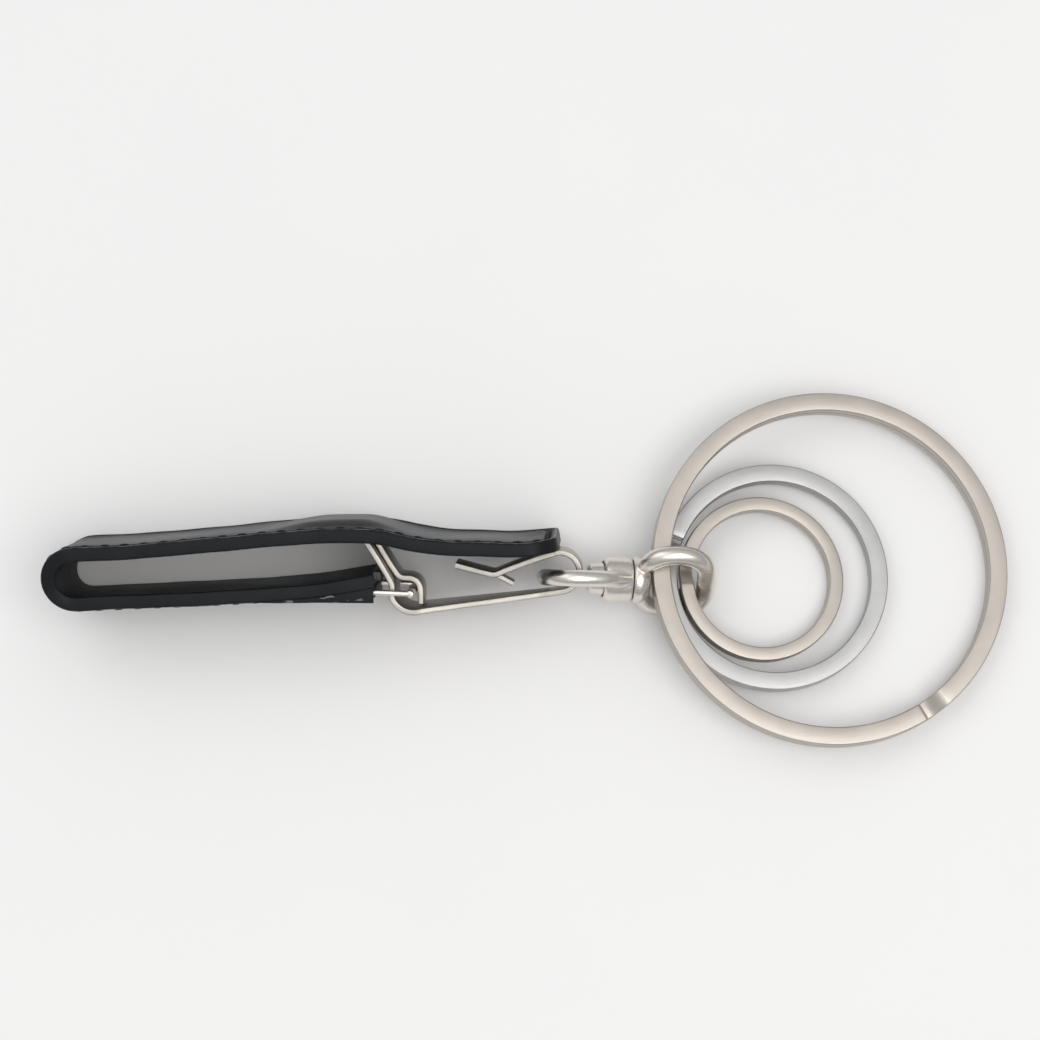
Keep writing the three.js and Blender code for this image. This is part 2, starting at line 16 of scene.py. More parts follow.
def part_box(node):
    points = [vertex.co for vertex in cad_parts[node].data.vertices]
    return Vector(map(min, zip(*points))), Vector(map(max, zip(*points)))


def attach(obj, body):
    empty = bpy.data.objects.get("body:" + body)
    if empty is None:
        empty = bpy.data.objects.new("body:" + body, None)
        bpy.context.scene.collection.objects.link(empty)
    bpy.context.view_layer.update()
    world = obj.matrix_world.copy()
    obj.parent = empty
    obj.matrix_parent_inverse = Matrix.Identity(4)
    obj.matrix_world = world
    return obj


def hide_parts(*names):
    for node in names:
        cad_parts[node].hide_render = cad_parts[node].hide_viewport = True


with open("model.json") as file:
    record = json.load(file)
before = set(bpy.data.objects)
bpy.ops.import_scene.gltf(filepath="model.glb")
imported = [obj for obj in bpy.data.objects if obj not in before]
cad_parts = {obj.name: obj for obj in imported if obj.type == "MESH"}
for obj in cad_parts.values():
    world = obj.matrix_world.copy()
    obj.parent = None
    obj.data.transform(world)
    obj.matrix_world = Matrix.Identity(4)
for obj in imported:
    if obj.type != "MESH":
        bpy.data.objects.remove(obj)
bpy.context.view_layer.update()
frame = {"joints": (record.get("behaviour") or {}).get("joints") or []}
JOINTS = {joint["name"]: joint for joint in frame["joints"]}
MM = 0.001


# ---------------------------------------------------------------- sizes

STRAP_ORIGIN = (0.155, -1.89, -1.31)

WIDTH = 15.0
NARROW_TOP = 1.6
PLY = 0.72
FOLD = (-47.4, 3.1)
FOLD_R = 2.65
FLAP_X = 2.9
FLAP_CORNER = 3.2
CUT_ROUND = 0.22
RIDGE_HALF = 0.1
# Painted shade inside each edge of the outer face: its strength, and the distances from the edge
# (mm) over which it fades away.
EDGE_SHADE = {"depth": 0.8, "from": 2.0, "to": 6.5}
TABLE_GAP = 0.03
SEAM_INSET = 1.0
SEAM_STOP = 5.2
STITCH_PITCH = 2.05
STITCH_SHARE = 0.66
STITCH_HALF = 0.42
STITCH_POINTS = 13
STITCH_STEP = 0.14
STITCH_DIVE = 0.3
THREAD_R = 0.21
THREAD_RISE = {"top": -0.02, "bottom": -0.16}

STEEL = 0.62
CLIP_MID = 7.4
HOOK = (3.0, 3.42)
HOOK_R = 2.08
ARM_WIDTH = 4.9

RINGS = {
    "ring_large": {"outer": 38.0, "wide": 1.9, "turn": 1.12, "start": -48, "ramp": 8.5},
    "ring_medium": {"outer": 24.4, "wide": 1.85, "turn": 0.92, "start": 172, "ramp": 12},
    "ring_small": {"outer": 17.7, "wide": 1.45, "turn": 0.78, "start": 187, "ramp": 14},
}
RING_GAP = 0.06


# ---------------------------------------------------------------- curves


def smooth(x, low, high):
    t = np.clip((np.asarray(x, float) - low) / (high - low), 0.0, 1.0)
    return t * t * (3 - 2 * t)


def curve(points, closed=False, per=24):
    """A dense line through the points: a centripetal Catmull-Rom spline."""
    p = np.array([list(q) + [0.0] * (3 - len(q)) for q in points], float)
    count = len(p)
    line = []
    for i in range(count if closed else count - 1):
        b, c = p[i], p[(i + 1) % count]
        a = p[i - 1] if closed or i else 2 * b - c
        d = p[(i + 2) % count] if closed or i + 2 < count else 2 * c - b
        d0, d1, d2 = (math.sqrt(np.linalg.norm(v)) for v in (b - a, c - b, d - c))
        m1 = ((b - a) / d0 - (c - a) / (d0 + d1) + (c - b) / d1) * d1
        m2 = ((c - b) / d1 - (d - b) / (d1 + d2) + (d - c) / d2) * d1
        for t in np.arange(per) / per:
            line.append(
                (2 * t**3 - 3 * t**2 + 1) * b
                + (t**3 - 2 * t**2 + t) * m1
                + (3 * t**2 - 2 * t**3) * c
                + (t**3 - t**2) * m2
            )
    line.append(p[0] if closed else p[-1])
    return np.array(line)


def length_along(line):
    step = np.linalg.norm(np.diff(line, axis=0), axis=1)
    return np.concatenate([[0.0], np.cumsum(step)])


def stations(line, places):
    """Points and unit tangents at distances along a dense line."""
    run = length_along(line)
    tangent = np.gradient(line, run, axis=0)
    at = np.stack([np.interp(places, run, line[:, k]) for k in range(3)], 1)
    ahead = np.stack([np.interp(places, run, tangent[:, k]) for k in range(3)], 1)
    return at, ahead / np.linalg.norm(ahead, axis=1)[:, None]


def even(line, step):
    """Distances along a line, about a step apart, with both ends."""
    total = length_along(line)[-1]
    return np.linspace(0, total, max(2, int(round(total / step))) + 1)


def arc(centre, radius, start, end, count):
    """Points on a circle, angles in degrees."""
    angle = np.radians(np.linspace(start, end, count))
    return [(centre[0] + radius * math.cos(a), centre[1] + radius * math.sin(a)) for a in angle]


# ---------------------------------------------------------------- placing


def strap_place():
    axis = JOINTS["latch_flex"]["axis"]
    lean = math.atan2(-axis[1], axis[2])
    return Matrix.Translation(Vector(STRAP_ORIGIN)) @ Matrix.Rotation(lean, 4, "X")


def swivel_place():
    joint = JOINTS["eye_spin"]
    pitch = math.atan2(-joint["axis"][2], joint["axis"][0])
    origin = Vector(joint["pos_m"]) / MM
    return Matrix.Translation(origin) @ Matrix.Rotation(pitch, 4, "Y")


def ring_place(name):
    """A ring's centre and tilt, from its box: it leans about Y with its right side down."""
    size = RINGS[name]
    low, high = (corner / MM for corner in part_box(name))
    stack = 2 * size["turn"] + RING_GAP
    drop = (high.z - low.z) - stack
    tilt = math.asin(drop / size["outer"])
    tilt = math.asin(((high.z - low.z) - stack * math.cos(tilt)) / size["outer"])
    centre = (low + high) / 2
    centre.y = low.y + size["outer"] / 2
    return Matrix.Translation(centre) @ Matrix.Rotation(tilt, 4, "Y")


STRAP = strap_place()
SWIVEL = swivel_place()


def placed(points, place):
    """Points moved by a placing matrix, in metres."""
    matrix = np.array(place)
    return (points @ matrix[:3, :3].T + matrix[:3, 3]) * MM


# ---------------------------------------------------------------- meshes


def make_piece(name, parts, place, materials, body, nodes):
    """One object from parts. A part is a dict of points, faces, kinds (a material number for
    each face), uv (one pair for each face corner) and optional marks (numbers for each point)."""
    points, faces, kinds, corners, marks = [], [], [], [], []
    start = 0
    for part in parts:
        points.append(placed(np.asarray(part["points"], float), place))
        faces += [[start + i for i in face] for face in part["faces"]]
        kinds += list(part.get("kinds", [0] * len(part["faces"])))
        corners += list(part["uv"])
        marks.append(part.get("marks", np.zeros((len(part["points"]), 2))))
        start += len(part["points"])
    mesh = bpy.data.meshes.new(name)
    mesh.from_pydata(np.concatenate(points).tolist(), [], faces)
    for material in materials:
        mesh.materials.append(material)
    mesh.polygons.foreach_set("material_index", np.array(kinds, np.int32))
    layer = mesh.uv_layers.new(name="sweep")
    layer.data.foreach_set("uv", np.array(corners, np.float32).ravel())
    # stitch holds the painted shade mask (stitch dimples and the band inside each edge); ridge marks
    # where the painted highlight goes.
    for k, mark in enumerate(("stitch", "ridge")):
        worn = mesh.attributes.new(mark, "FLOAT", "POINT")
        worn.data.foreach_set("value", np.concatenate(marks)[:, k].astype(np.float32))
    mesh.polygons.foreach_set("use_smooth", np.ones(len(faces), bool))
    mesh.set_sharp_from_angle(angle=math.radians(38))
    mesh.update()
    piece = bpy.data.objects.new(name, mesh)
    bpy.context.scene.collection.objects.link(piece)
    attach(piece, body)
    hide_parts(*nodes)
    return piece


def signed_volume(points, faces):
    total = 0.0
    for face in faces:
        a = points[face[0]]
        for i in range(1, len(face) - 1):
            total += np.dot(a, np.cross(points[face[i]], points[face[i + 1]]))
    return total / 6


def tube(rings, run, around, loop=False, kinds=None, skip=None, walls=None):
    """A skin over rings of points (rings x points x 3). run is each ring's distance along and
    around each point's distance round the section. skip(i, j) leaves a face out."""
    rings = np.asarray(rings, float)
    count, sides = rings.shape[:2]
    points = rings.reshape(-1, 3)
    faces, tags, uv = [], [], []
    turns = count if loop else count - 1
    for i in range(turns):
        k = (i + 1) % count
        u0, u1 = run[i], run[i + 1]
        for j in range(sides):
            if skip and skip(i, j):
                continue
            m = (j + 1) % sides
            faces.append([i * sides + j, k * sides + j, k * sides + m, i * sides + m])
            tags.append(kinds[j] if kinds is not None else 0)
            uv += [(u0, around[j]), (u1, around[j]), (u1, around[j + 1]), (u0, around[j + 1])]
    if not loop:
        last = (count - 1) * sides
        half = sides // 2
        for base, flip in ((0, False), (last, True)):
            for j in range(half - 1):
                face = [base + j, base + j + 1, base + sides - 2 - j, base + sides - 1 - j]
                faces.append(face[::-1] if flip else face)
                tags.append(kinds[-1] if kinds is not None else 0)
                uv += [(run[0 if base == 0 else -1], around[j])] * 4
    for wall in walls or []:
        faces.append(wall)
        tags.append(kinds[-1] if kinds is not None else 0)
        uv += [(0.0, 0.0)] * 4
    if signed_volume(points, faces) < 0:
        faces = [face[::-1] for face in faces]
        flipped = []
        place = 0
        for face in faces:
            flipped += uv[place : place + len(face)][::-1]
            place += len(face)
        uv = flipped
    return {"points": points, "faces": faces, "kinds": tags, "uv": uv}


def rounded_box(half_a, half_b, radius, steps=3):
    """A rounded rectangle's outline as pairs, starting on its +a, -b corner."""
    outline = []
    for sign_a, sign_b, start in ((1, -1, -90), (1, 1, 0), (-1, 1, 90), (-1, -1, 180)):
        centre = (sign_a * (half_a - radius), sign_b * (half_b - radius))
        outline += arc(centre, radius, start, start + 90, steps + 1)
    return np.array(outline)


def section_run(outline):
    step = np.linalg.norm(np.diff(np.vstack([outline, outline[:1]]), axis=0), axis=1)
    return np.concatenate([[0.0], np.cumsum(step)])


def flat_strip(line, step, thickness, width_at, radius=0.12, middle=CLIP_MID):
    """A strip with rounded edges, bent along a line in the strap's plane."""
    places = even(line, step)
    at, ahead = stations(line, places)
    normal = np.stack([-ahead[:, 1], ahead[:, 0], np.zeros(len(ahead))], 1)
    rings = []
    for point, side in zip(at, normal):
        outline = rounded_box(thickness / 2, width_at(point[0]) / 2, radius)
        rings.append(
            point + outline[:, :1] * side + outline[:, 1:] * [0, 0, 1] + [0, 0, middle]
        )
    return tube(rings, places, section_run(outline))


def rod(line, step, radius_at, sides=20, loop=False):
    """A round rod along a line, with a frame that turns as little as it can."""
    places = even(line, step)
    at, ahead = stations(line, places)
    if loop:
        at, ahead = at[:-1], ahead[:-1]
    side = np.cross(ahead[0], [0.0, 1.0, 0.1])
    rings = []
    for i, (point, along) in enumerate(zip(at, ahead)):
        side = side - along * np.dot(side, along)
        side /= np.linalg.norm(side)
        other = np.cross(along, side)
        angle = 2 * math.pi * np.arange(sides) / sides
        radius = radius_at(places[i] / places[-1])
        rings.append(
            point + radius * (np.cos(angle)[:, None] * side + np.sin(angle)[:, None] * other)
        )
    return tube(rings, places, np.arange(sides + 1) * 2 * math.pi / sides, loop=loop)


def rounded_profile(corners, steps=4):
    """A profile of (x, radius, fillet) corners as points, with each corner rounded."""
    points = []
    for i, (x, r, fillet) in enumerate(corners):
        here = np.array([x, r])
        if fillet == 0 or i in (0, len(corners) - 1):
            points.append(here)
            continue
        before = np.array(corners[i - 1][:2]) - here
        after = np.array(corners[i + 1][:2]) - here
        start = here + before / np.linalg.norm(before) * fillet
        end = here + after / np.linalg.norm(after) * fillet
        for t in np.linspace(0, 1, steps + 1):
            points.append((1 - t) ** 2 * start + 2 * t * (1 - t) * here + t * t * end)
    return np.array(points)


def turned(corners, sides=64):
    """A solid turned about x from a rounded profile that starts and ends on the axis."""
    profile = rounded_profile(corners)
    angle = 2 * math.pi * np.arange(sides) / sides
    rings = [
        np.stack([np.full(sides, x), max(r, 1e-4) * np.cos(angle), max(r, 1e-4) * np.sin(angle)], 1)
        for x, r in profile
    ]
    run = np.concatenate([[0], np.cumsum(np.linalg.norm(np.diff(profile, axis=0), axis=1))])
    return tube(rings, run, np.arange(sides + 1) * 2 * math.pi / sides)


# ---------------------------------------------------------------- materials


class Nodes:
    """Short calls for building one material's node tree."""

    def __init__(self, name):
        self.material = bpy.data.materials.new(name)
        self.material.use_nodes = True
        self.tree = self.material.node_tree
        self.shader = self.tree.nodes["Principled BSDF"]
        place = self.add("ShaderNodeTexCoord")
        self.object = place.outputs["Object"]

    def add(self, kind, inputs=None, **settings):
        node = self.tree.nodes.new(kind)
        for key, value in settings.items():
            setattr(node, key, value)
        for key, value in (inputs or {}).items():
            if isinstance(value, bpy.types.NodeSocket):
                self.tree.links.new(value, node.inputs[key])
            else:
                node.inputs[key].default_value = value
        return node

    def uv(self):
        return self.add("ShaderNodeUVMap", uv_map="sweep").outputs["UV"]

    def scaled(self, vector, scale):
        return self.add("ShaderNodeMapping", {"Vector": vector, "Scale": scale}).outputs[0]

    def noise(self, vector, scale, detail=3.0, roughness=0.55):
        inputs = {"Vector": vector, "Scale": scale, "Detail": detail, "Roughness": roughness}
        return self.add("ShaderNodeTexNoise", inputs).outputs["Fac"]

    def cells(self, vector, scale, feature="SMOOTH_F1"):
        inputs = {"Vector": vector, "Scale": scale}
        return self.add("ShaderNodeTexVoronoi", inputs, feature=feature).outputs["Distance"]

    def math(self, operation, a, b=0.0, c=0.0):
        return self.add("ShaderNodeMath", {0: a, 1: b, 2: c}, operation=operation).outputs[0]

    def range(self, value, low, high, to_low=0.0, to_high=1.0):
        inputs = {
            "Value": value,
            "From Min": low,
            "From Max": high,
            "To Min": to_low,
            "To Max": to_high,
        }
        return self.add("ShaderNodeMapRange", inputs).outputs["Result"]

    def blend(self, share, first, second):
        inputs = {0: share, 6: (*first, 1) if isinstance(first, tuple) else first}
        inputs[7] = (*second, 1) if isinstance(second, tuple) else second
        return self.add("ShaderNodeMix", inputs, data_type="RGBA").outputs[2]

    def bump(self, height, distance, strength=1.0, normal=None):
        inputs = {"Height": height, "Distance": distance, "Strength": strength}
        if normal is not None:
            inputs["Normal"] = normal
        return self.add("ShaderNodeBump", inputs).outputs["Normal"]

    def finish(self, **inputs):
        for key, value in inputs.items():
            socket = self.shader.inputs[key.replace("_", " ")]
            if isinstance(value, bpy.types.NodeSocket):
                self.tree.links.new(value, socket)
            else:
                socket.default_value = value
        return self.material


def leather_grain(name, dark, light, gloss, shine):
    """Fine-grained leather: pebbles about a third of a millimetre across, pores and creases.
    Painted shade at the stitch dimples and inside each edge; painted highlight along the edge's
    ridge."""
    n = Nodes(name)
    stitch = n.add("ShaderNodeAttribute", attribute_name="stitch").outputs["Fac"]
    ridge = n.add("ShaderNodeAttribute", attribute_name="ridge").outputs["Fac"]
    pebbles = n.cells(n.object, 3200)
    pores = n.noise(n.object, 9000, 2.0)
    creases = n.noise(n.scaled(n.object, (500, 1500, 500)), 1.0, 4.0, 0.6)
    patches = n.noise(n.object, 160, 3.0)
    first = n.bump(creases, 0.00006, 0.6)
    second = n.bump(pebbles, 0.00005, 0.55, first)
    third = n.bump(pores, 0.00002, 0.4, second)
    colour = n.blend(n.range(patches, 0.35, 0.7), dark, light)
    worn = n.blend(n.range(pebbles, 0.1, 0.75, 0.0, 0.35), colour, light)
    # Painted highlight along the edge's ridge, broken up by this noise.
    highlight_breaks = n.range(n.noise(n.object, 900, 3.0), 0.4, 0.62)
    ridge_highlight = n.blend(n.math("MULTIPLY", ridge, highlight_breaks), worn, (0.2, 0.21, 0.22))
    # Painted shade, near black, at the stitch dimples and in a band inside each edge.
    painted_shade = n.blend(stitch, ridge_highlight, (0.0015, 0.0018, 0.0022))
    rough = n.range(n.math("ADD", patches, pores), 0.7, 1.3, gloss - 0.07, gloss + 0.1)
    duller = n.range(stitch, 0.0, 1.0, shine, 0.04)
    return n.finish(Base_Color=painted_shade, Roughness=rough, Normal=third, Specular_IOR_Level=duller)


def edge_paint(name, scuff):
    """The cut edge: leather sealed with satin edge paint, nearly smooth, with small scuffs and a
    painted highlight along its ridge.
    """
    n = Nodes(name)
    ridge = n.add("ShaderNodeAttribute", attribute_name="ridge").outputs["Fac"]
    highlight_breaks = n.range(n.noise(n.object, 900, 3.0), 0.4, 0.62)
    waves = n.noise(n.object, 260, 2.0)
    fibres = n.noise(n.scaled(n.uv(), (1.4, 9.0, 1.0)), 1.0, 3.0)
    specks = n.range(n.noise(n.scaled(n.object, (700, 2600, 2600)), 1.0, 2.0), scuff, scuff + 0.06)
    colour = n.blend(n.range(waves, 0.3, 0.7), (0.004, 0.0052, 0.0065), (0.007, 0.009, 0.011))
    # Painted highlight along the edge's ridge, broken up by noise.
    highlit_ridge = n.blend(n.math("MULTIPLY", ridge, highlight_breaks), colour, (0.2, 0.21, 0.22))
    scuffed = n.blend(specks, highlit_ridge, (0.15, 0.16, 0.17))
    bump = n.bump(fibres, 0.00003, 0.35, n.bump(waves, 0.0001, 0.3))
    rough = n.range(fibres, 0.3, 0.7, 0.36, 0.5)
    return n.finish(Base_Color=scuffed, Roughness=rough, Normal=bump, Specular_IOR_Level=0.18)


def thread_material(name):
    """Waxed black thread, twisted: slanted strands along each stitch."""
    n = Nodes(name)
    inputs = {"Vector": n.uv(), "Scale": 1.7, "Distortion": 0.6, "Detail": 1.0}
    strands = n.add("ShaderNodeTexWave", inputs, bands_direction="DIAGONAL").outputs["Fac"]
    fuzz = n.noise(n.object, 12000, 2.0)
    colour = n.blend(strands, (0.003, 0.0035, 0.0045), (0.011, 0.012, 0.014))
    bump = n.bump(fuzz, 0.00001, 0.5, n.bump(strands, 0.00004, 0.8))
    rough = n.range(fuzz, 0.3, 0.7, 0.5, 0.7)
    return n.finish(Base_Color=colour, Roughness=rough, Normal=bump, Specular_IOR_Level=0.25)


def satin_metal(name, bright, dull, rough, brush):
    """Satin metal: brushed along or round the piece, with faint cloudy staining and scratches."""
    n = Nodes(name)
    lines = n.noise(n.scaled(n.uv(), (0.16, 26.0, 1.0)), 1.0, 4.0, 0.65)
    fine = n.noise(n.object, 7000, 3.0)
    clouds = n.noise(n.object, 230, 3.0)
    marks = n.range(n.noise(n.scaled(n.object, (300, 2600, 900)), 1.0, 2.0), 0.66, 0.74)
    colour = n.blend(n.range(clouds, 0.3, 0.72), dull, bright)
    marked = n.blend(n.math("MULTIPLY", marks, 0.25), colour, dull)
    brushed = n.range(lines, 0.25, 0.75, rough - 0.05, rough + 0.07)
    roughness = n.math("ADD", brushed, n.range(clouds, 0.3, 0.7, -0.02, 0.04))
    bump = n.bump(fine, 0.000006, 0.5, n.bump(lines, 0.000012 * brush, 0.7))
    return n.finish(Base_Color=marked, Metallic=1.0, Roughness=roughness, Normal=bump)


LEATHER = leather_grain("leather_grain", (0.01, 0.012, 0.014), (0.036, 0.039, 0.043), 0.42, 0.55)
LINING = leather_grain("leather_lining", (0.005, 0.006, 0.007), (0.01, 0.011, 0.013), 0.5, 0.22)
EDGE = edge_paint("leather_edge", 0.78)
SCUFFED_EDGE = edge_paint("leather_edge_scuffed", 0.62)
THREAD = thread_material("stitch_thread")
SPRING = satin_metal("spring_steel_satin", (0.52, 0.495, 0.455), (0.37, 0.355, 0.325), 0.36, 2.6)
NICKEL = satin_metal("nickel_satin", (0.8, 0.755, 0.7), (0.7, 0.66, 0.605), 0.26, 0.7)
RING_WARM = satin_metal("ring_nickel_warm", (0.53, 0.488, 0.45), (0.465, 0.43, 0.395), 0.38, 1.4)
RING_COOL = satin_metal("ring_nickel_cool", (0.51, 0.51, 0.512), (0.45, 0.45, 0.452), 0.38, 1.8)


# ---------------------------------------------------------------- the strap

UPPER = [
    (FLAP_X, 6.72),
    (1.0, 6.4),
    (-1.5, 6.24),
    (-5, 6.3),
    (-9.4, 6.45),
    (-12, 6.82),
    (-15.2, 7.5),
    (-18.5, 7.72),
    (-25.8, 7.38),
    (-33.6, 6.67),
    (-41.3, 6.0),
    (FOLD[0], FOLD[1] + FOLD_R),
]
LOWER = [
    (FOLD[0], FOLD[1] - FOLD_R),
    (-39.7, 0.8),
    (-33.9, 1.05),
    (-26.5, 1.5),
    (-21, 2.05),
    (-16.25, 2.88),
]
TURNBACK = [
    (-16.5, 2.32),
    (-16.36, 2.1),
    (-16.33, 1.65),
    (-16.38, 1.1),
    (-16.9, 0.88),
    (-19.2, 0.86),
    (-22, 0.84),
    (-25.5, 0.72),
    (-28.6, 0.66),
]
RETURN = {"low": 3.2, "high": 11.6, "wrap": 0.17, "thick": 0.3, "thick_end": 0.06}
RETURN.update({"widens": 17.2, "wide": 18.4, "below": 1.5})
CHEEK = 0.47
# A small end of leather above the link. The CAD has no such piece.
TONGUE = [(-16.6, 2.85, 3.62), (-16.1, 2.75, 3.74), (-15.62, 2.72, 3.66)]
POCKET = {"from": -21.5, "rise_over": 7.5, "to": -17.6, "fall_over": 5.0, "rise": 0.7}
POCKET.update({"low": 1.7, "high": 13.2, "side": 2.4})
MOUTH = {"x": -17.0, "length": 4.2, "height": 9.4}


def glue_line():
    """Stations between the plies: place, outward normal, distance from the flap's end, and how
    far the strap has narrowed there."""
    upper, lower = curve(UPPER), curve(LOWER)
    fold = curve(arc(FOLD, FOLD_R, 90, 270, 13))
    end = [0, 0.03, 0.08, 0.15, 0.24, 0.36, 0.5, 0.62, 0.74, 0.85, 0.95, 1.05, 1.15, 1.25]
    end += [1.35, 1.45, 1.57, 1.7, 1.9, 2.15, 2.45, 2.8, 3.2]
    total = length_along(upper)[-1]
    on_upper = np.concatenate([end, np.linspace(3.2, total, 150)[1:]])
    rows = []
    for line, places, start in (
        (upper, on_upper, 0.0),
        (fold, even(fold, 0.3)[1:], total),
        (lower, even(lower, 0.33)[1:], total + length_along(fold)[-1]),
    ):
        at, ahead = stations(line, places)
        for point, along, place in zip(at, ahead, places):
            share = place / length_along(line)[-1]
            narrowed = 0.0 if line is upper else 1.0 if line is lower else float(smooth(share, 0, 1))
            outward = np.array([along[1], -along[0], 0.0])
            rows.append(
                {
                    "at": point,
                    "out": outward,
                    "place": start + place,
                    "narrowed": narrowed,
                    "upper": line is upper,
                }
            )
    return rows


GLUE = glue_line()


def table_edge(y):
    """The place across the strap's width that meets the table, for a face at y."""
    lean = math.atan2(STRAP[2][1], STRAP[2][2])
    return (TABLE_GAP - STRAP_ORIGIN[2] - y * math.sin(lean)) / math.cos(lean)


def corner_cut(place):
    d = min(place, FLAP_CORNER)
    return FLAP_CORNER - math.sqrt(FLAP_CORNER**2 - (FLAP_CORNER - d) ** 2)


def full_edges(row):
    """The strap's two long edges at a row, before the flap's corners are rounded."""
    reach = abs(row["out"][1]) * (PLY + RING_GAP)
    return table_edge(row["at"][1] - reach), WIDTH - NARROW_TOP * row["narrowed"]


def edge_distance(row, z):
    """How far a point of the outer face lies from the nearest cut edge."""
    low, high = full_edges(row)
    side = np.minimum(z - low, high - z)
    a = np.maximum(FLAP_CORNER - row["place"], 0.0)
    b = np.maximum(FLAP_CORNER - side, 0.0)
    inside = FLAP_CORNER - np.hypot(a, b)
    return np.where((a > 0) & (b > 0), inside, np.minimum(side, row["place"]))


def seam_route(top):
    """The stitches' line on the outer face, as rows and places across: along one edge, and on
    the top row also round the flap's end."""
    route = []
    for row in GLUE:
        low, high = full_edges(row)
        edge = SEAM_INSET
        if row["place"] < SEAM_INSET:
            continue
        if top and not route:
            across_end = np.linspace(low + FLAP_CORNER, high - FLAP_CORNER, 30)
            route = [(row, z) for z in across_end]
        a = max(FLAP_CORNER - row["place"], 0.0)
        if a > 0:
            inner = FLAP_CORNER - SEAM_INSET
            edge = FLAP_CORNER - math.sqrt(max(inner**2 - a**2, 0.0))
        route.append((row, high - edge if top else low + edge))
    return route


def stitch_runs(top):
    """Each stitch's points on the face, the face's normal there, and its (place, z) spots."""
    route = seam_route(top)
    flat = np.array([row["at"] + row["out"] * PLY + np.array([0, 0, z]) for row, z in route])
    normals = np.array([row["out"] for row, _ in route])
    spots = np.array([(row["place"], z) for row, z in route])
    run = length_along(flat)
    made = []
    for k in range(int((run[-1] - SEAM_STOP) / STITCH_PITCH)):
        places = (k + 0.5 + np.linspace(-0.5, 0.5, STITCH_POINTS) * STITCH_SHARE) * STITCH_PITCH
        made.append(
            [
                np.stack([np.interp(places, run, line[:, c]) for c in range(line.shape[1])], 1)
                for line in (flat, normals, spots)
            ]
        )
    return made


STITCHES = {"top": stitch_runs(True), "bottom": stitch_runs(False)}
SPOTS = np.concatenate([spots for row in STITCHES.values() for _, _, spots in row])


def stitch_nearness(row, z):
    """One on a stitch, falling to nothing beside it."""
    near = SPOTS[np.abs(SPOTS[:, 0] - row["place"]) < 1.0]
    if len(near) == 0:
        return np.zeros(len(z))
    away = np.hypot(near[:, :1] - row["place"], near[:, 1:] - z[None, :]).min(axis=0)
    return np.exp(-((away / STITCH_HALF) ** 4))


def hand_waves(x, z):
    """Slow uneven swelling of hand-cut leather, within a few hundredths of a millimetre."""
    return 0.025 * np.sin(0.43 * x + 0.31 * z) + 0.018 * np.sin(1.07 * x - 0.53 * z + 1.3)


def outer_lift(row, z):
    """How far the outer face stands off its plane: seam groove, stitch dimples, pocket."""
    away = np.abs(edge_distance(row, z) - SEAM_INSET)
    groove = 0.1 * np.exp(-((away / 0.35) ** 2)) + 0.2 * stitch_nearness(row, z)
    pillow = 0.05 * np.exp(-(((away - 0.75) / 0.3) ** 2))
    lift = pillow - groove + hand_waves(row["at"][0], z)
    if row["upper"]:
        x = row["at"][0]
        run = smooth(x, POCKET["from"] - POCKET["rise_over"], POCKET["from"])
        run *= 1 - smooth(x, POCKET["to"], POCKET["to"] + POCKET["fall_over"])
        across = smooth(z, POCKET["low"], POCKET["low"] + POCKET["side"])
        across *= 1 - smooth(z, POCKET["high"] - POCKET["side"], POCKET["high"])
        lift = lift + POCKET["rise"] * run * across
    return lift


def face_marks(row, z):
    """Outer-face marks: painted shade at the stitches and in a band inside each edge, and the edge's
    ridge, which gets a painted highlight.
    """
    edge = edge_distance(row, z)
    # Painted shade in a band inside each edge, kept off the ridge.
    dark = EDGE_SHADE["depth"] * (1 - smooth(edge, EDGE_SHADE["from"], EDGE_SHADE["to"]))
    # Where the edge's ridge gets a painted highlight.
    ridge = np.exp(-(((edge - CUT_ROUND) / RIDGE_HALF) ** 2))
    return np.stack([np.maximum(stitch_nearness(row, z), dark * (1 - ridge)), ridge], 1)


def ply_columns():
    """Columns beside a ply's edge: distance from the edge, and how far the rounding sinks."""
    rounding = [
        (CUT_ROUND * (1 - math.cos(a)), CUT_ROUND * (1 - math.sin(a)))
        for a in np.radians([0, 22, 45, 67, 90])
    ]
    return rounding + [(d, 0.0) for d in np.arange(0.32, 2.3, 0.12)]


NEAR = ply_columns()
MIDDLE = 26


def across(low, high):
    """Column places from low to high, and the rounding at each."""
    near = np.array([d for d, _ in NEAR])
    sink = np.array([s for _, s in NEAR])
    near = near * min(1.0, (high - low) / (2 * near[-1] + 0.4))
    inner = np.linspace(low + near[-1], high - near[-1], MIDDLE + 2)[1:-1]
    z = np.concatenate([low + near, inner, (high - near)[::-1]])
    return z, np.concatenate([sink, np.zeros(MIDDLE), sink[::-1]])


COLUMNS = 2 * len(NEAR) + MIDDLE


def ply_section(centre, out, half, low, high, lift, round_out, round_in):
    """One ring of a ply: its outer face from low to high, then its inner face back."""
    z, sink = across(low, high)
    reach = np.concatenate([half - sink * round_out + lift(z), (-half + sink * round_in)[::-1]])
    places = np.concatenate([z, z[::-1]])
    return centre + reach[:, None] * out + places[:, None] * np.array([0, 0, 1.0])


def ply_kinds():
    """Material numbers round a ply's ring: 0 the face, 1 the painted cut edge."""
    painted = 3
    kinds = [0] * (2 * COLUMNS)
    for j in range(2 * COLUMNS):
        column = j if j < COLUMNS else 2 * COLUMNS - 2 - j
        if column < painted or column >= COLUMNS - 1 - painted or j == COLUMNS - 1:
            kinds[j] = 1
    return kinds


def end_sink(place):
    """Rounding of the faces at the flap's end."""
    d = min(place, CUT_ROUND)
    return CUT_ROUND - math.sqrt(CUT_ROUND**2 - (CUT_ROUND - d) ** 2)


